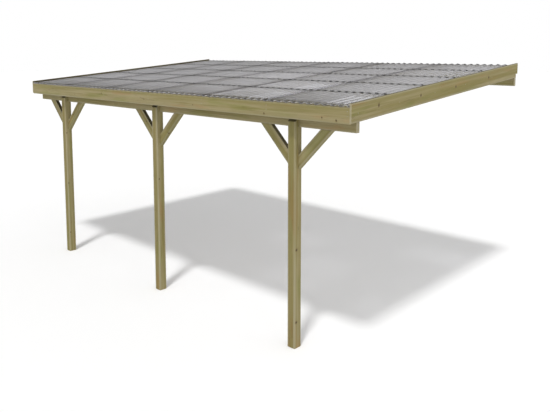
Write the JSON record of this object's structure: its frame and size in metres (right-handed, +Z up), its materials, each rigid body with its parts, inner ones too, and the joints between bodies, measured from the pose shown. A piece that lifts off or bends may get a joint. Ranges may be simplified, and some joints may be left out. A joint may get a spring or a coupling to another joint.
{
  "type": "wall-mounted carport",
  "caption": "Timber carport leaning against a wall: square posts with knee braces, front and wall beams, rafters, battens and a gently sloped corrugated translucent roof.",
  "frame": {"origin": "middle of the back face of the wall beam, where it bears on the wall; the ground is 2.409 m below", "axes": "+X runs right along the front as seen by someone facing the wall, +Y points into the wall, +Z is up"},
  "size_m": [5.572, 3.2783, 2.6062],
  "materials": {
    "post_timber": "matte",
    "brace_timber": "matte",
    "beam_timber": "matte",
    "rafter_timber": "matte",
    "batten_timber": "matte",
    "board_timber": "matte",
    "roof_sheet": "satin",
    "fixings": "satin"
  },
  "bodies": {
    "root": {"post_left": "post_timber", "post_middle": "post_timber", "post_right": "post_timber", "brace_left_post_left": "brace_timber", "brace_left_post_right": "brace_timber", "brace_middle_post_left": "brace_timber", "brace_middle_post_right": "brace_timber", "brace_right_post_left": "brace_timber", "brace_right_post_right": "brace_timber", "front_beam": "beam_timber", "wall_beam": "beam_timber", "front_board": "board_timber", "side_board_left": "board_timber", "side_board_right": "board_timber", "rafter_1": "rafter_timber", "rafter_2": "rafter_timber", "rafter_3": "rafter_timber", "rafter_4": "rafter_timber", "rafter_5": "rafter_timber", "rafter_6": "rafter_timber", "rafter_7": "rafter_timber", "batten_1": "batten_timber", "batten_2": "batten_timber", "batten_3": "batten_timber", "batten_4": "batten_timber", "batten_5": "batten_timber", "batten_6": "batten_timber", "roof_sheet_1": "roof_sheet", "roof_sheet_2": "roof_sheet", "roof_sheet_3": "roof_sheet", "roof_sheet_4": "roof_sheet", "roof_sheet_5": "roof_sheet", "roof_sheet_6": "roof_sheet"}
  },
  "joints": []
}
